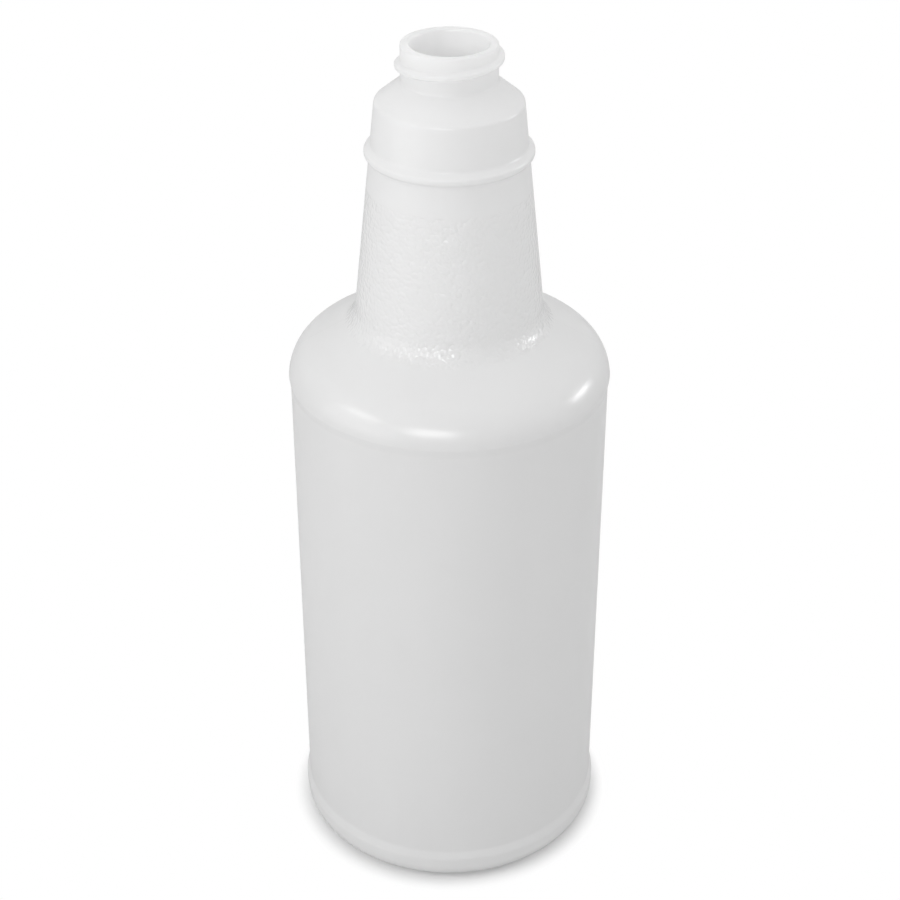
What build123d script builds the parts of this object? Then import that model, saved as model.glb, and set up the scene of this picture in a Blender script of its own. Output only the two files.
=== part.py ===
"""Blow-moulded trigger-spray bottle of about one quart, open at its threaded neck.

Millimetres, +Z up, origin on the floor under the bottle's axis.
The whole bottle is one hollow piece: a revolved shell whose cavity follows its outline,
with a bead round the grip, a screw thread on the neck and a moulded scale on the back.
"""

import math
import os

from build123d import *

# Body: heel, base band, label panel
body_diameter = 88.2
wall = 1.0
heel_radius = 5.5
standing_ring_width = 2.6
push_up = 4.0
push_up_run = 6.0
base_band_height = 9.2
panel_height = 138.6
panel_recess = 0.85
ledge_rise = 0.3

# Weld rib across the raised panel of the base, left where the mould pinched the tube shut
weld_margin = 7.0
weld_width = 1.2
weld_height = 0.6

# Shoulder and grip
shoulder_inset = 0.4
shoulder_lean = 7.0
shoulder_radius = 13.0
shoulder_angle = 30.0
grip_height = 77.2
grip_top_diameter = 38.3
grip_draft = 6.0
grip_foot_radius = 8.0
grip_edge_bevel = 0.9
bead_relief = 1.4
bead_width = 3.4
bead_crest_width = 1.1
bead_drop = 13.2

# Neck
neck_diameter = 24.8
neck_wall = 2.35
neck_height = 9.53
neck_slope = 39.0
lip_bevel = 0.35

# Thread of the neck, one right-hand turn that starts and ends at the back
thread_diameter = 27.6
thread_pitch = 4.23
thread_turns = 1.0
thread_start = 90.0
thread_drop = 2.4
thread_root_width = 2.5
thread_crest_width = 1.1
thread_fade_share = 0.1
thread_sections = 24

# Moulded scale up the back of the panel, a long mark at every second step
scale_azimuth = 80.0
mark_rise = 3.4
mark_spacing = 10.55
mark_margin = 4.0
mark_width = 0.7
mark_relief = 0.35
long_mark = 15.0
short_mark = 8.5

# Reach of a cut past the face that it has to clear, and depth of a ridge's root under the skin
overrun = 0.5
ridge_sink = 0.5

# Place along a rounding where its two chords meet
chord_share = 0.5

# Sizes worked out from those above
body_radius = body_diameter / 2
panel_radius = body_radius - panel_recess
shoulder_band_radius = body_radius - shoulder_inset
ring_radius = body_radius - heel_radius - standing_ring_width
base_radius = ring_radius - push_up_run
panel_foot = base_band_height + ledge_rise
panel_top = base_band_height + panel_height
grip_top = panel_top + grip_height
grip_top_radius = grip_top_diameter / 2
neck_radius = neck_diameter / 2
bore_radius = neck_radius - neck_wall
bead_height = grip_top - bead_drop
neck_foot = grip_top + (grip_top_radius - neck_radius) * math.tan(math.radians(neck_slope))
bottle_height = neck_foot + neck_height


def grip_radius(height):
    """Radius of the grip's cone at a height above the floor."""
    return grip_top_radius + (grip_top - height) * math.tan(math.radians(grip_draft))


def grip_foot(start):
    """Corner where the sloping shoulder that leaves the given point meets the grip's cone."""
    rise = math.tan(math.radians(shoulder_angle))
    lean = math.tan(math.radians(grip_draft))
    radius = (grip_top_radius + (grip_top - start.Y - start.X * rise) * lean) / (1 - rise * lean)
    return Vector(radius, start.Y + (start.X - radius) * rise)


def bend(start, direction, radius, turn, smooth):
    """Rounding of the outline, or two chords of it where a smooth one isn't needed."""
    arc = JernArc(start, direction, radius, turn, mode=Mode.ADD if smooth else Mode.PRIVATE)
    if not smooth:
        Polyline(arc @ 0, arc @ chord_share, arc @ 1)
    return arc


def outline(neck_outer, top, smooth):
    """Half section of the bottle as if it were solid, from the axis out."""
    axis_foot = (0, push_up)
    axis_top = (0, top)
    shoulder_turn = 90 - shoulder_lean - shoulder_angle
    up_the_shoulder = Vector(0, 1).rotate(Axis.Z, shoulder_lean)
    neck_corner = neck_foot + (neck_radius - neck_outer) * math.tan(math.radians(neck_slope))
    with BuildSketch() as half:
        with BuildLine():
            base = Polyline(
                axis_foot,
                (base_radius, push_up),
                (ring_radius, 0),
                (body_radius - heel_radius, 0),
            )
            heel = bend(base @ 1, (1, 0), heel_radius, 90, smooth)
            side = Polyline(
                heel @ 1,
                (body_radius, base_band_height),
                (panel_radius, panel_foot),
                (panel_radius, panel_top),
                (shoulder_band_radius, panel_top + ledge_rise),
            )
            shoulder = bend(side @ 1, up_the_shoulder, shoulder_radius, shoulder_turn, smooth)
            FilletPolyline(
                shoulder @ 1,
                grip_foot(shoulder @ 1),
                (grip_top_radius, grip_top),
                radius=grip_foot_radius if smooth else 0,
            )
            Polyline(
                (grip_top_radius, grip_top),
                (neck_outer, neck_corner),
                (neck_outer, top),
                axis_top,
                axis_foot,
            )
        make_face()
        if smooth:
            chamfer(half.vertices().sort_by_distance((grip_top_radius, grip_top))[0], grip_edge_bevel)
    return half.sketch


def cavity_outline():
    """Half section of the hollow: the whole section drawn in by the wall, with the mouth left open."""
    with BuildSketch() as hollow:
        add(outline(bore_radius + wall, bottle_height + wall + overrun, smooth=False))
        mirror(about=Plane.YZ)
        offset(amount=-wall, kind=Kind.INTERSECTION)
        split(bisect_by=Plane.YZ)
    return hollow.sketch


def meridian(angle):
    """Upright plane through the axis, its x-direction pointing out at an angle from +X."""
    out = Vector(1, 0, 0).rotate(Axis.Z, angle)
    return Plane(origin=(0, 0, 0), x_dir=out, z_dir=out.cross(Vector(0, 0, 1)))


def ridge_section(radius, height, relief, root_width, crest_width):
    """Section of a raised ridge at a radius and a height, with its root sunk under the skin."""
    root = radius - ridge_sink
    crest = radius + relief
    with BuildSketch() as section:
        with BuildLine():
            Polyline(
                (root, height - root_width / 2),
                (crest, height - crest_width / 2),
                (crest, height + crest_width / 2),
                (root, height + root_width / 2),
                close=True,
            )
        make_face()
    return section.sketch


def thread_section(share):
    """Section of the thread at a share of its run; it dives under the neck's skin at both ends."""
    height = bottle_height - thread_drop - thread_pitch * thread_turns * (1 - share)
    fade = min(share, 1 - share, thread_fade_share) / thread_fade_share
    full_relief = (thread_diameter - neck_diameter) / 2
    dive = ridge_sink / 2
    relief = (full_relief + dive) * math.sin(math.pi / 2 * fade) - dive
    with BuildSketch(meridian(thread_start + 360 * thread_turns * share)) as section:
        add(ridge_section(neck_radius, height, relief, thread_root_width, thread_crest_width))
    return section.sketch


weld_reach = base_radius - weld_margin
mark_run = panel_height - ledge_rise - mark_rise - mark_margin
mark_count = 1 + int(mark_run / mark_spacing)
mark_heights = [panel_foot + mark_rise + mark_spacing * step for step in range(mark_count)]
mark_sets = ((mark_heights[1::2], long_mark), (mark_heights[0::2], short_mark))

with BuildPart() as bottle:
    # Outer form, solid for now
    with BuildSketch(Plane.XZ):
        add(outline(neck_radius, bottle_height, smooth=True))
    revolve(axis=Axis.Z)

    # Weld rib under the raised panel of the base
    with BuildSketch(Plane.XY.offset(push_up - weld_height)):
        SlotOverall(2 * weld_reach, weld_width)
    extrude(amount=weld_height + ridge_sink)

    # Bead round the top of the grip
    with BuildSketch(Plane.XZ):
        add(ridge_section(grip_radius(bead_height), bead_height, bead_relief, bead_width, bead_crest_width))
    revolve(axis=Axis.Z)

    # Thread of the neck
    loft(sections=[thread_section(step / thread_sections) for step in range(thread_sections + 1)])

    # Marks of the scale, as short raised arcs on the panel
    for heights, length in mark_sets:
        with BuildSketch(meridian(scale_azimuth)):
            with Locations(*[(panel_radius, height) for height in heights]):
                Rectangle(2 * mark_relief, mark_width)
        revolve(axis=Axis.Z, revolution_arc=math.degrees(length / panel_radius))

    # Hollow, open through the neck
    with BuildSketch(Plane.XZ):
        add(cavity_outline())
    revolve(axis=Axis.Z, mode=Mode.SUBTRACT)

    # Bevelled lip of the mouth
    chamfer(bottle.faces().sort_by(Axis.Z)[-1].edges(), lip_bevel)

bottle.part.label = "bottle"
os.makedirs("parts", exist_ok=True)
export_step(bottle.part, "parts/bottle.step")
print("bottle", bottle.part.is_valid, round(bottle.part.volume), bottle.part.bounding_box())
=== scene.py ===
# %% [markdown]
# # A blow-moulded bottle, step by step
# The object is an open bottle of milky plastic, of about a quart: a round body with a recessed panel,
# a sloping shoulder, a slim grip with a pebbled skin and a short threaded neck.
# A machine made it in one go: a hot tube of plastic was caught between two mould halves and blown out
# like a balloon. So it is one skin with the same thin wall everywhere, and it is built here as one mesh.
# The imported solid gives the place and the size. The scene adds what a solid model leaves out:
# rounded edges, the grain of the grip, the numbers of the scale, the finish and the light.

# %% Load the frame
import math

import bpy
from mathutils import Matrix, Vector


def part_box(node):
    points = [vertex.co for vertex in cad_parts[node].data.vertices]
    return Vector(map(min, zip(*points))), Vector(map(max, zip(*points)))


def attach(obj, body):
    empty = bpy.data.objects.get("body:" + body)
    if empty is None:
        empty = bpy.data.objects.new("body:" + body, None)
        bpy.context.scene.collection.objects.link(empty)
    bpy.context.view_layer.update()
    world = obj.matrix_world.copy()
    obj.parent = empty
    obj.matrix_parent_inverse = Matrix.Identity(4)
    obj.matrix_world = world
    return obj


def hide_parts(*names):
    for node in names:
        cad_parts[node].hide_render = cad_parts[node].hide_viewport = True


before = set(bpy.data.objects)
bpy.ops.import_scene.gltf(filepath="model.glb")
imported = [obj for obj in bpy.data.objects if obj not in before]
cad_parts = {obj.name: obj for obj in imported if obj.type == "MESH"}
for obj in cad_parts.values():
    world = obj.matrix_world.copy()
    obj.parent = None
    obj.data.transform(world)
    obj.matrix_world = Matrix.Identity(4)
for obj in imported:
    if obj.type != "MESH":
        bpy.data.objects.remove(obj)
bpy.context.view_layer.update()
print("nodes:", sorted(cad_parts))

# %% [markdown]
# ## Sizes
# The frame knows how tall and how wide the bottle is, so these two are read from it. The other sizes
# are those of the solid, written in millimetres and turned into metres by one factor.
# The second cell holds roundings that the solid leaves sharp or bevelled: hot plastic never fills
# a sharp corner of a mould, so every edge of the real bottle is soft.

# %% Sizes of the bottle
mm = 0.001
lowest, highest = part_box("bottle")
bottle_height = highest[2] - lowest[2]
body_radius = (highest[0] - lowest[0]) / 2

wall = 1.0 * mm
heel_radius = 5.5 * mm
standing_ring_width = 2.6 * mm
push_up = 4.0 * mm
push_up_run = 6.0 * mm
ring_radius = body_radius - heel_radius - standing_ring_width
base_radius = ring_radius - push_up_run
panel_foot = 9.35 * mm
panel_top = 147.95 * mm
panel_recess = 0.85 * mm
panel_radius = body_radius - panel_recess
shoulder_inset = 0.4 * mm
shoulder_foot_radius = body_radius - shoulder_inset
shoulder_lean = math.radians(7)
shoulder_radius = 13.0 * mm
shoulder_slope = math.radians(30)
grip_top = 225.0 * mm
grip_top_radius = 19.15 * mm
grip_draft = math.tan(math.radians(6))
grip_foot_radius = 8.0 * mm
neck_radius = 12.4 * mm
bore_radius = 10.05 * mm
neck_slope = math.tan(math.radians(39))
neck_foot = grip_top + (grip_top_radius - neck_radius) * neck_slope
print(f"bottle {bottle_height / mm:.1f} mm tall, {2 * body_radius / mm:.1f} mm across")

# %% Roundings
base_rounding = 4.0 * mm
ring_rounding = 1.5 * mm
ledge_half_rise = 1.2 * mm
ledge_rounding = 3.0 * mm
ledge_crest_rounding = 1.0 * mm
grip_edge_rounding = 1.3 * mm
neck_foot_rounding = 0.9 * mm
lip_rounding = 0.6 * mm
print(f"the ledges of the panel rise over {2 * ledge_half_rise / mm:.1f} mm")

# %% [markdown]
# ## The outline
# A bottle that was blown in a round mould is a surface of revolution: half of its section, spun about
# the axis. It could be drawn as a curve and spun by a modifier. Here the half section is a short list of
# corners, each with the radius that rounds it off, because a list is easy to read and to change.


# %% Corners of the outside
def grip_radius(height):
    """Radius of the grip's cone at a height above the floor."""
    return grip_top_radius + (grip_top - height) * grip_draft


def outline(neck_outer, ridges=()):
    """Corners of the half section from the axis to the mouth: radius, height and rounding."""
    up_the_shoulder = Vector((-math.sin(shoulder_lean), math.cos(shoulder_lean)))
    shoulder_foot = Vector((shoulder_foot_radius, panel_top))
    turn = math.pi / 2 - shoulder_lean - shoulder_slope
    shoulder = shoulder_foot + up_the_shoulder * shoulder_radius * math.tan(turn / 2)
    rise = math.tan(shoulder_slope)
    foot = grip_radius(shoulder.y + shoulder.x * rise) / (1 - rise * grip_draft)
    return [
        (0, push_up, 0),
        (base_radius, push_up, base_rounding),
        (ring_radius, 0, ring_rounding),
        (body_radius, 0, heel_radius),
        (body_radius, panel_foot - ledge_half_rise, ledge_rounding),
        (panel_radius, panel_foot + ledge_half_rise, ledge_rounding),
        (panel_radius, panel_top - 2 * ledge_half_rise, ledge_rounding),
        (*shoulder_foot, ledge_crest_rounding),
        (*shoulder, shoulder_radius - ledge_crest_rounding),
        (foot, shoulder.y + (shoulder.x - foot) * rise, grip_foot_radius),
        *ridges,
        (grip_top_radius, grip_top, grip_edge_rounding),
        (neck_outer, neck_foot + (neck_radius - neck_outer) * neck_slope, neck_foot_rounding),
        (neck_outer, bottle_height, lip_rounding),
    ]


for radius, height, rounding in outline(neck_radius):
    print(f"corner r {radius / mm:6.2f}  z {height / mm:6.2f}  rounded by {rounding / mm:.2f} mm")

# %% [markdown]
# ## The bead round the grip
# A ring stands out near the top of the grip. It stops the hand and takes the edge of a shrink sleeve.
# It could be a torus, but then its roots would need a joint. So it is four more corners of the outline:
# two at its roots and two on its crest, which are rounded so far that they nearly meet in one arc.

# %% Corners of the bead
bead_drop = 13.2 * mm
bead_height = grip_top - bead_drop
bead_relief = 1.4 * mm
bead_half_root = 1.8 * mm
bead_half_crest = 0.62 * mm
bead_crest_radius = grip_radius(bead_height) + bead_relief
bead_root_rounding = 1.2 * mm
bead_crest_rounding = 0.9 * mm
bead = [
    (grip_radius(bead_height - bead_half_root), bead_height - bead_half_root, bead_root_rounding),
    (bead_crest_radius, bead_height - bead_half_crest, bead_crest_rounding),
    (bead_crest_radius, bead_height + bead_half_crest, bead_crest_rounding),
    (grip_radius(bead_height + bead_half_root), bead_height + bead_half_root, bead_root_rounding),
]
print(f"bead at {bead_height / mm:.1f} mm, crest radius {bead_crest_radius / mm:.2f} mm")

# %% [markdown]
# ## From corners to an even wall
# One helper turns each corner into an arc of short chords: the larger the radius, the more chords, so that
# no arc strays from its chords by more than a given bulge. Another one draws the corners in by the wall.
# A blown bottle has nearly the same wall all over, so this gives its inside without a second set of sizes.

# %% Round the corners and draw the outline in
smallest_rounding = 0.3 * mm


def rounded(corners, bulge):
    """Points along a run of corners, with an arc at each that bulges past its chords so far."""
    points = [Vector(corners[0][:2])]
    for before, corner, after in zip(corners, corners[1:], corners[2:]):
        here = Vector(corner[:2])
        back = (Vector(before[:2]) - here).normalized()
        ahead = (Vector(after[:2]) - here).normalized()
        half = back.angle(ahead) / 2
        centre = here + (back + ahead).normalized() * corner[2] / math.sin(half)
        spoke = here + back * corner[2] / math.tan(half) - centre
        turn = -math.copysign(math.pi - 2 * half, back.cross(ahead))
        steps = max(3, math.ceil(abs(turn) / math.sqrt(8 * bulge / max(corner[2], bulge))))
        points += [centre + Matrix.Rotation(turn * step / steps, 2) @ spoke for step in range(steps + 1)]
    return points + [Vector(corners[-1][:2])]


def drawn_in(corners, depth):
    """The same corners moved to the left of their run by a depth, with their roundings adjusted."""
    moved = []
    for before, corner, after in zip(corners, corners[1:], corners[2:]):
        here = Vector(corner[:2])
        arriving = (here - Vector(before[:2])).normalized()
        leaving = (Vector(after[:2]) - here).normalized()
        sides = arriving.orthogonal() + leaving.orthogonal()
        place = here + sides * depth / (1 + arriving.dot(leaving))
        rounding = corner[2] - math.copysign(depth, arriving.cross(leaving))
        moved.append((*place, max(rounding, smallest_rounding)))
    return moved


inside = drawn_in(outline(bore_radius + wall, bead), wall)
print(len(outline(neck_radius, bead)), "corners outside,", len(inside), "inside")

# %% [markdown]
# ## Rows of the skin
# Each point of the outline becomes a ring of the mesh. Long straight stretches get a few rows, and one
# close to either end, so that smooth shading stays flat on the panel and bends only in the roundings.
# The neck carries the thread, so it is cut into many even rows.

# %% Helpers that cut a run of points into rows
support = 0.5 * mm
longest = 8.0 * mm


def parted(run, height):
    """The run up to a height and the run from there on, both with the point at that height."""
    leg = next(index for index, point in enumerate(run) if point.y > height)
    share = (height - run[leg - 1].y) / (run[leg].y - run[leg - 1].y)
    place = run[leg - 1].lerp(run[leg], share)
    return run[:leg] + [place], [place] + run[leg:]


def spread(run):
    """The run with rows added on its long straight stretches."""
    rows = [run[0]]
    for start, end in zip(run, run[1:]):
        length = (end - start).length
        if length > 4 * support:
            count = math.ceil((length - 2 * support) / longest)
            inner = [support + (length - 2 * support) * step / count for step in range(count + 1)]
            rows += [start.lerp(end, distance / length) for distance in inner]
        rows.append(end)
    return rows


def even(run, step):
    """Points at even steps along the run."""
    lengths = [0.0]
    for start, end in zip(run, run[1:]):
        lengths.append(lengths[-1] + (end - start).length)
    count = math.ceil(lengths[-1] / step)
    rows = []
    leg = 0
    for place in range(count + 1):
        distance = lengths[-1] * place / count
        while leg < len(run) - 2 and lengths[leg + 1] < distance:
            leg += 1
        share = (distance - lengths[leg]) / (lengths[leg + 1] - lengths[leg])
        rows.append(run[leg].lerp(run[leg + 1], share))
    return rows


# %% Rows of each stretch of the bottle
outer_bulge = 0.004 * mm
inner_bulge = 0.04 * mm
neck_step = 0.2 * mm
neck_start = neck_foot + neck_foot_rounding / 2
lip_start = bottle_height - 1.2 * lip_rounding
rising_corners = outline(neck_radius, bead)[:-1] + [(neck_radius, lip_start, 0)]
falling_corners = [
    (neck_radius, lip_start, 0),
    (neck_radius, bottle_height, lip_rounding),
    (bore_radius, bottle_height, lip_rounding),
    *inside[::-1],
    (0, push_up + wall, 0),
]

body_run, neck_run = parted(rounded(rising_corners, outer_bulge), neck_start)
falling = rounded(falling_corners, inner_bulge)
outer_rows = spread(body_run)
neck_rows = even(neck_run, neck_step)[1:]
inner_rows = spread(falling)[1:]
stretches = (outer_rows, neck_rows, inner_rows)
print("rows:", [len(rows) for rows in stretches])

# %% [markdown]
# ## The thread of the neck
# The cap screws on one turn of thread, a low rounded ridge that climbs to the right and runs out at the
# back of the neck. It could be a swept profile joined to the neck by a boolean. Here each point of the
# neck simply moves out by the height of the ridge at its place, so the skin stays one clean mesh.

# %% Height of the thread
thread_pitch = 4.23 * mm
thread_relief = 1.4 * mm
thread_end = bottle_height - 2.4 * mm
thread_half_root = 1.3 * mm
thread_half_crest = 0.35 * mm
thread_run_out = 0.1
back_of_neck = 0.25


def ease(value):
    """0 below 0, 1 above 1 and a smooth step between."""
    value = min(max(value, 0.0), 1.0)
    return value * value * (3 - 2 * value)


def thread(angle, height):
    """How far the neck stands out at an angle from +X and a height."""
    share = (angle / (2 * math.pi) - back_of_neck) % 1.0
    centre = thread_end - thread_pitch * (1 - share)
    flank = (thread_half_root - abs(height - centre)) / (thread_half_root - thread_half_crest)
    return thread_relief * ease(flank) * ease(min(share, 1 - share) / thread_run_out)


print(f"thread at the front: {thread(-math.pi / 2, thread_end - thread_pitch / 2) / mm:.2f} mm high")

# %% [markdown]
# ## One skin
# The rows are spun into rings. The neck needs many points round it and the inside few, so two
# neighbouring rings may differ in number, and a helper stitches them with a band of triangles.
# Outside, lip and inside are one run, and the mesh closes on the axis under the base and on the floor
# inside. So it is watertight, and light that enters the plastic always finds its other side.

# %% Spin the rows into rings
counts = (120, 200, 64)
reliefs = (None, thread, None)


def spin(rows, count, relief):
    """Rings of points for a stretch of rows; a row on the axis is one point."""
    rings = []
    for row in rows:
        ring = []
        for step in range(count if row.x else 1):
            angle = 2 * math.pi * step / count
            reach = row.x + (relief(angle, row.y) if relief else 0)
            ring.append(Vector((reach * math.cos(angle), reach * math.sin(angle), row.y)))
        rings.append(ring)
    return rings


rings = []
for rows, count, relief in zip(stretches, counts, reliefs):
    rings += spin(rows, count, relief)
print(len(rings), "rings with", sum(len(ring) for ring in rings), "points")


# %% Stitch the rings into a mesh
def stitch(low, high):
    """Faces between two rings, given as lists of vertex numbers."""
    if len(low) == len(high):
        return [(low[i - 1], low[i], high[i], high[i - 1]) for i in range(len(low))]
    faces = []
    i = j = 0
    lows = len(low) if len(low) > 1 else 0
    highs = len(high) if len(high) > 1 else 0
    while i < lows or j < highs:
        if j == highs or (i < lows and (i + 1) * highs <= (j + 1) * lows):
            faces.append((low[i], low[(i + 1) % lows], high[j % len(high)]))
            i += 1
        else:
            faces.append((low[i % len(low)], high[(j + 1) % highs], high[j]))
            j += 1
    return faces


def piece(name, points, faces):
    """A smooth-shaded mesh piece that rides with the bottle's only body."""
    mesh = bpy.data.meshes.new(name)
    mesh.from_pydata(points, [], faces)
    mesh.validate()
    mesh.shade_smooth()
    made = bpy.data.objects.new(name, mesh)
    bpy.context.collection.objects.link(made)
    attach(made, "root")
    mesh.calc_loop_triangles()
    print(name, "has", len(mesh.loop_triangles), "triangles")
    return made


numbers = []
total = 0
for ring in rings:
    numbers.append(range(total, total + len(ring)))
    total += len(ring)
skin_points = [point for ring in rings for point in ring]
skin_faces = [face for low, high in zip(numbers, numbers[1:]) for face in stitch(low, high)]
skin = piece("bottle_skin", skin_points, skin_faces)
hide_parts("bottle")

# %% [markdown]
# ## The scale on the back
# Bottles of this kind have a moulded scale up one side: a short raised line every two fluid ounces and
# a long one every four. A line is a little bar that follows the round panel, with a rounded top.
# The same helper makes the weld across the base, where the mould pinched the tube of plastic shut.

# %% Raised bars
sink = 0.15 * mm
end_share = 0.6


def bar(spine, across, width, relief):
    """Points and faces of a raised bar along a spine of (place, outward direction)."""
    half = width / 2
    left_side = [(-half, -sink), (-half, relief / 2), (-half / 2, relief)]
    section = left_side + [(-side, rise) for side, rise in reversed(left_side)]
    points = []
    for index, (place, out) in enumerate(spine):
        full = end_share if index in (0, len(spine) - 1) else 1.0
        for side, rise in section:
            points.append(place + across * side * full + out * (rise * full if rise > 0 else rise))
    size = len(section)
    faces = [tuple(range(size - 1, -1, -1)), tuple(range(len(points) - size, len(points)))]
    for start in range(0, len(points) - size, size):
        for i in range(size):
            j = (i + 1) % size
            faces.append((start + i, start + j, start + size + j, start + size + i))
    return points, faces


def joined(parts):
    """Several sets of points and faces as one."""
    points, faces = [], []
    for more_points, more_faces in parts:
        faces += [tuple(index + len(points) for index in face) for face in more_faces]
        points += more_points
    return points, faces


# %% Marks of the scale and the weld of the base
mark_start = math.radians(80)
mark_rise = 3.55 * mm
mark_first = panel_foot + mark_rise
mark_spacing = 10.55 * mm
mark_count = 13
long_mark = 15.0 * mm
short_mark = 8.5 * mm
mark_width = 0.7 * mm
mark_relief = 0.35 * mm
mark_steps = 20
up = Vector((0, 0, 1))


def mark(index):
    """Bar of one mark, from the scale's left end as seen from behind."""
    length = long_mark if index % 2 else short_mark
    spine = []
    for step in range(mark_steps + 1):
        angle = mark_start + length / panel_radius * step / mark_steps
        out = Vector((math.cos(angle), math.sin(angle), 0))
        spine.append((out * panel_radius + up * (mark_first + mark_spacing * index), out))
    return bar(spine, up, mark_width, mark_relief)


marks = piece("scale_marks", *joined(mark(index) for index in range(mark_count)))

weld_margin = 7.0 * mm
weld_half = base_radius - weld_margin
weld_width = 1.2 * mm
weld_relief = 0.6 * mm
weld_steps = 10
along, across = Vector((1, 0, 0)), Vector((0, 1, 0))
weld_spine = []
for step in range(-weld_steps, weld_steps + 1):
    weld_spine.append((along * weld_half * step / weld_steps + up * push_up, -up))
weld = piece("base_weld", *bar(weld_spine, across, weld_width, weld_relief))

# %% [markdown]
# ## Numbers of the scale
# A number stands beside each long mark. Blender's text object gives the shape of the digits, and its
# extrusion makes them raised. The flat mesh is then wrapped round the panel: the distance along the line
# of text becomes an angle, so the digits follow the curve and sit on the skin everywhere.

# %% Raised numbers
number_size = 7.0 * mm
number_gap = 1.6 * mm
number_bevel = 0.12 * mm
ounces_per_mark = 2
digit_resolution = 6


def number(index):
    """Points and faces of the number beside a long mark."""
    text = bpy.data.curves.new("number", "FONT")
    text.body = str((index + 1) * ounces_per_mark)
    text.size = number_size
    text.align_y = "CENTER"
    text.extrude = (mark_relief + sink) / 2 - number_bevel
    text.bevel_depth = number_bevel
    text.resolution_u = digit_resolution
    flat = bpy.data.objects.new("number", text)
    mesh = bpy.data.meshes.new_from_object(flat)
    points = []
    start = mark_start + (long_mark + number_gap) / panel_radius
    for vertex in mesh.vertices:
        angle = start + vertex.co.x / panel_radius
        reach = panel_radius + (mark_relief - sink) / 2 + vertex.co.z
        height = mark_first + mark_spacing * index + vertex.co.y
        points.append(Vector((reach * math.cos(angle), reach * math.sin(angle), height)))
    faces = [tuple(face.vertices) for face in mesh.polygons]
    bpy.data.objects.remove(flat)
    bpy.data.curves.remove(text)
    bpy.data.meshes.remove(mesh)
    return points, faces


numerals = piece("scale_numbers", *joined(number(index) for index in range(1, mark_count, 2)))

# %% [markdown]
# ## Writing shaders as sums
# A material is a graph of nodes, and a graph is slow to read as code. One small class wraps a socket,
# so that a sum on it adds the Math nodes behind the scenes, and one method makes any other node.
# Then a finish reads like the formula that it is.

# %% A socket that can be used in sums
class Value:
    """An output socket of a node tree, for use in sums."""

    def __init__(self, nodes, socket):
        self.nodes = nodes
        self.socket = socket

    def sum(self, operation, *terms):
        return self.nodes.add("ShaderNodeMath", {"operation": operation}, dict(enumerate(terms)))

    def __add__(self, other):
        return self.sum("ADD", self, other)

    def __sub__(self, other):
        return self.sum("SUBTRACT", self, other)

    def __rsub__(self, other):
        return self.sum("SUBTRACT", other, self)

    def __mul__(self, other):
        return self.sum("MULTIPLY", self, other)

    __radd__ = __add__
    __rmul__ = __mul__


class Nodes:
    """A node tree that is filled one node at a time."""

    def __init__(self, tree):
        self.tree = tree
        tree.nodes.clear()

    def add(self, kind, settings, sockets, output=0):
        """Adds a node: its settings come first, then the values or links of its sockets."""
        node = self.tree.nodes.new(kind)
        for name, setting in settings.items():
            setattr(node, name, setting)
        for key, value in sockets.items():
            if isinstance(value, Value):
                self.tree.links.new(value.socket, node.inputs[key])
            else:
                node.inputs[key].default_value = value
        return Value(self, node.outputs[output]) if len(node.outputs) else None


def new_finish(name):
    """A new material and its empty node tree."""
    material = bpy.data.materials.new(name)
    material.use_nodes = True
    return material, Nodes(material.node_tree)


print("shader helpers are ready")

# %% [markdown]
# ## Patterns on the skin
# A blown skin is never quite even. It has faint upright streaks where the hot tube was stretched, soft
# clouds, and a low ridge at either side where the halves of the mould met. All of them come from noise
# or from the place on the bottle, so no picture has to be wrapped round it.

# %% Helpers for patterns
milky, nodes = new_finish("milky_plastic_finish")
place = nodes.add("ShaderNodeTexCoord", {}, {}, "Object")
height = nodes.add("ShaderNodeSeparateXYZ", {}, {0: place}, "Z")
side = nodes.add("ShaderNodeSeparateXYZ", {}, {0: place}, "Y")


def blur(scale, detail=2.0, stretch=(1, 1, 1)):
    """Soft noise from 0 to 1; the scale is in waves per metre."""
    spot = nodes.add("ShaderNodeVectorMath", {"operation": "MULTIPLY"}, {0: place, 1: stretch})
    return nodes.add("ShaderNodeTexNoise", {}, {"Vector": spot, "Scale": scale, "Detail": detail})


def step_up(value, low, high):
    """0 below a low limit, 1 above a high one and a smooth step between."""
    limits = {"Value": value, 1: low, 2: high}
    return nodes.add("ShaderNodeMapRange", {"interpolation_type": "SMOOTHSTEP"}, limits)


def window(value, low, high, soft):
    """1 where the value lies between two limits, falling to 0 over a soft edge."""
    return step_up(value, low - soft, low) * (1 - step_up(value, high, high + soft))


print("patterns are measured in metres from the middle of the base")

# %% [markdown]
# ## Colour and gloss
# The plastic has no pigment and is white because light wanders about in it. From the shoulder up the colour
# is whiter: partly for the thicker wall there, which loses less light, and partly as painted light for the
# top, which faces up a little and catches light off the shoulder. The skin is satin, and the pebbles of the
# grip, which lie in the mould as an etched pattern, are glossier than the smooth rest.

# %% Colour and roughness
grain_foot = 163.5 * mm
grain_top = 201.6 * mm
grain_edge = 0.8 * mm
# Heights and ends of the whitening from the shoulder up: partly a thicker wall, partly painted light on the
# top.
whitening_start = 148 * mm
whitening_end = 170 * mm
greyer_white = (0.84, 0.84, 0.84, 1)
purer_white = (0.98, 0.98, 0.98, 1)

on_grip = window(height, grain_foot, grain_top, grain_edge)
streaks = blur(60, 3.0, (1, 1, 0.12))
cloud = blur(35)
# This height mask whitens the colour from the shoulder up: partly a thicker wall, partly painted light on
# the upper bottle.
thick_wall_and_painted_light = step_up(height, whitening_start, whitening_end)
tone = {0: 0.2 * streaks + 0.2 * cloud + 0.6 * thick_wall_and_painted_light, 6: greyer_white, 7: purer_white}
colour = nodes.add("ShaderNodeMix", {"data_type": "RGBA"}, tone, 2)
rough = 0.2 + 0.06 * cloud - 0.1 * on_grip
print(f"grain from {grain_foot / mm:.1f} to {grain_top / mm:.1f} mm")

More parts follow.
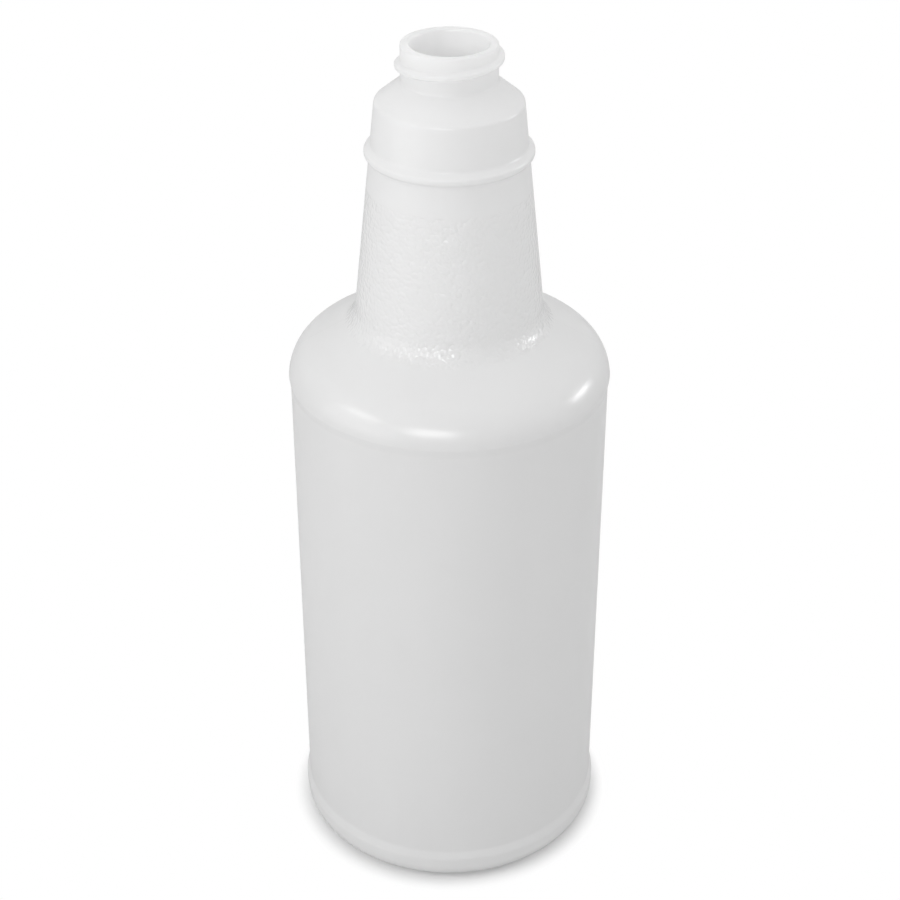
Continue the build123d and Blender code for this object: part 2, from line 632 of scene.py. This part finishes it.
# %% [markdown]
# ## The pebbled grip
# A wet hand slips on smooth plastic, so the grip has a fine leather grain. Its pebbles are about a
# millimetre wide and a few hundredths of a millimetre high: too small for the outline to show, but each
# one catches the lamps. So they are bump. A cell pattern gives the pebbles, the square of the distance from
# a cell's middle makes them round, and a little noise bends the cells out of their too even shapes.

# %% Relief of the skin
pebbles_per_metre = 920.0
pebble_relief = 0.2
warp_reach = (0.3 * mm, 0.3 * mm, 0.3 * mm)
peel_relief = 0.02
seam_relief = 0.04
seam_half = 0.05 * mm
seam_edge = 0.15 * mm

peel = blur(420, 3.0)
warp = nodes.add("ShaderNodeTexNoise", {}, {"Vector": place, "Scale": 700.0, "Detail": 1.0}, "Color")
bent = {0: warp, 1: warp_reach, 2: place}
spot = nodes.add("ShaderNodeVectorMath", {"operation": "MULTIPLY_ADD"}, bent)
cells = {"Vector": spot, "Scale": pebbles_per_metre}
pebbles = nodes.add("ShaderNodeTexVoronoi", {"feature": "F1"}, cells)
seam = window(side, -seam_half, seam_half, seam_edge)
relief = peel_relief * peel - pebble_relief * pebbles * pebbles * on_grip + seam_relief * seam
bump = nodes.add("ShaderNodeBump", {}, {"Strength": 1.0, "Distance": 1.0 * mm, "Height": relief})
print(f"pebbles of about {1000 / pebbles_per_metre:.1f} mm")

# %% [markdown]
# ## Milky plastic
# A thin milky wall both throws light back and lets it through. Subsurface scattering could do this, but it
# is slow and makes thick edges too white against a thin wall. A mix of a solid plastic and a translucent
# skin on a closed thin wall comes closer: the far side of the bottle lights the near one from within.
# The translucent share has no gloss, so the plastic gets more of it to make up for that. The slim neck
# stands in the light on all sides, and a larger share there gives the mouth its bright inside.

# %% Finish of the bottle
let_through = 0.42
more_at_the_neck = 0.13
plastic = nodes.add(
    "ShaderNodeBsdfPrincipled",
    {},
    {"Base Color": colour, "Roughness": rough, "Normal": bump, "IOR": 1.54, "Specular IOR Level": 0.85},
)
glow = nodes.add("ShaderNodeBsdfTranslucent", {}, {"Color": (0.93, 0.93, 0.93, 1)})
neck_mask = step_up(height, 229 * mm, 233 * mm)
through = let_through + more_at_the_neck * neck_mask
thin_wall = nodes.add("ShaderNodeMixShader", {}, {0: through, 1: plastic, 2: glow})
nodes.add("ShaderNodeOutputMaterial", {}, {"Surface": thin_wall})
for made in (skin, marks, weld, numerals):
    made.data.materials.append(milky)
print("finish on", [made.name for made in (skin, marks, weld, numerals)])

# %% [markdown]
# ## White floor
# The bottle stands on a white sheet. In a photo such a sheet is lit until it turns pure white, but in a
# render that much light would wash out the bottle too. So the sheet has two faces. What bounces off it to
# light the bottle comes from plain pale paper. What the camera sees is brighter paper close to the bottle,
# which still takes its shadow, and plain white further out.

# %% Paper of the floor
floor_half = 4.0
paper_white = (0.7, 0.7, 0.7, 1)
shown_white = (0.88, 0.88, 0.88, 1)
mirrored_share = 0.5
shadow_start = 43.5 * mm
shadow_end = 48.5 * mm


def rays():
    """1 for rays from the camera, and 1 for rays that a gloss or a clear body sends on."""
    camera_ray = nodes.add("ShaderNodeLightPath", {}, {}, "Is Camera Ray")
    glossy_ray = nodes.add("ShaderNodeLightPath", {}, {}, "Is Glossy Ray")
    return camera_ray, glossy_ray + nodes.add("ShaderNodeLightPath", {}, {}, "Is Transmission Ray")


paper, nodes = new_finish("white_paper")
direct, mirrored = rays()
lit = nodes.add("ShaderNodeBsdfDiffuse", {}, {"Color": paper_white})
bright = nodes.add("ShaderNodeBsdfDiffuse", {}, {"Color": shown_white})
white = nodes.add("ShaderNodeEmission", {}, {"Color": (1, 1, 1, 1), "Strength": 1.0})
spot = nodes.add("ShaderNodeTexCoord", {}, {}, "Object")
away = nodes.add("ShaderNodeVectorMath", {"operation": "LENGTH"}, {0: spot}, "Value")
shown = {0: step_up(away, shadow_start, shadow_end), 1: bright, 2: white}
shown = nodes.add("ShaderNodeMixShader", {}, shown)
sheet = {0: direct + mirrored_share * mirrored, 1: lit, 2: shown}
sheet = nodes.add("ShaderNodeMixShader", {}, sheet)
nodes.add("ShaderNodeOutputMaterial", {}, {"Surface": sheet})
print(f"the paper turns white {shadow_end / mm:.1f} mm from the bottle's axis")

# %% Floor
floor_corners = [(x * floor_half, y * floor_half, 0) for x, y in ((-1, -1), (1, -1), (1, 1), (-1, 1))]
floor_mesh = bpy.data.meshes.new("floor")
floor_mesh.from_pydata(floor_corners, [], [(0, 1, 2, 3)])
floor_mesh.materials.append(paper)
floor = bpy.data.objects.new("floor", floor_mesh)
bpy.context.collection.objects.link(floor)
print("floor of", 2 * floor_half, "m")

# %% [markdown]
# ## Light of the room
# Most of the light comes from above, as under a bright ceiling, so surfaces that face up are whiter than
# upright ones. The world grows brighter with the square of the height in the sky. The camera and the gloss
# see plain white instead.

# %% World
horizon = 0.295
zenith = 1.15
room = bpy.data.worlds.new("studio")
room.use_nodes = True
bpy.context.scene.world = room
nodes = Nodes(room.node_tree)
direct, mirrored = rays()
toward = nodes.add("ShaderNodeTexCoord", {}, {}, "Generated")
rise = nodes.add("ShaderNodeSeparateXYZ", {}, {0: toward}, "Z")
soft = nodes.add("ShaderNodeBackground", {}, {"Color": horizon + zenith * rise * rise, "Strength": 1.0})
white = nodes.add("ShaderNodeBackground", {}, {"Color": (1, 1, 1, 1), "Strength": 1.0})
sky = nodes.add("ShaderNodeMixShader", {}, {0: direct + mirrored, 1: soft, 2: white})
nodes.add("ShaderNodeOutputWorld", {}, {"Surface": sky})
print(f"sky from {horizon:.2f} at the horizon to {horizon + zenith:.2f} overhead")

# %% [markdown]
# ## Lamps
# Three soft boxes each leave their own gleam on the round shoulder and their glints on the foot of the
# grip: one beside the camera, a little to its left, one on the far left and one on the right, slightly
# behind. A fourth, large and low, only fills the left side. The size of a box sets the length of its gleam.

# %% Soft boxes
target = Vector((0, -0.03, 0.155))
lamp_distance = 0.75


def soft_box(name, azimuth, elevation, width, tall, power):
    """A rectangular lamp that looks at the bottle; azimuth 0 is the camera's side."""
    lamp = bpy.data.lights.new(name, "AREA")
    lamp.shape = "RECTANGLE"
    lamp.size = width
    lamp.size_y = tall
    lamp.energy = power
    turn, rise = math.radians(azimuth), math.radians(elevation)
    away = Vector((math.sin(turn) * math.cos(rise), -math.cos(turn) * math.cos(rise), math.sin(rise)))
    box = bpy.data.objects.new(name, lamp)
    box.location = target + away * lamp_distance
    box.rotation_euler = (-away).to_track_quat("-Z", "Y").to_euler()
    bpy.context.collection.objects.link(box)
    print(name, "at", [round(v, 2) for v in box.location], f"{power:.2f} W")


soft_box("front_lamp", -13, 21.5, 0.4, 0.19, 1.35)
soft_box("left_lamp", -68, 27, 0.3, 0.11, 0.54)
soft_box("right_lamp", 106, 12, 0.24, 0.11, 0.8)
soft_box("fill_lamp", -65, 3, 0.8, 0.35, 0.8)

# %% [markdown]
# ## Camera
# The camera looks down at the bottle from the front with a long lens. How flat a round mouth or band looks
# tells the tilt of the camera, and how fast the bottle narrows towards its foot tells the distance.
# Both were worked out that way, so the picture has the perspective of a real one.

# %% Camera and view
picture_width = 900
focal_length_in_pixels = 1872.876
camera_place = (0.15 * mm, -446.975 * mm, 396.81 * mm)
tilt_down = 31.615
look = bpy.data.cameras.new("camera")
look.sensor_width = 36.0
look.lens = look.sensor_width * focal_length_in_pixels / picture_width
camera = bpy.data.objects.new("camera", look)
camera.location = camera_place
camera.rotation_euler = (math.radians(90 - tilt_down), 0, 0)
bpy.context.collection.objects.link(camera)
bpy.context.scene.camera = camera
bpy.context.scene.view_settings.view_transform = "Standard"
print(f"camera with a lens of {look.lens:.1f} mm")
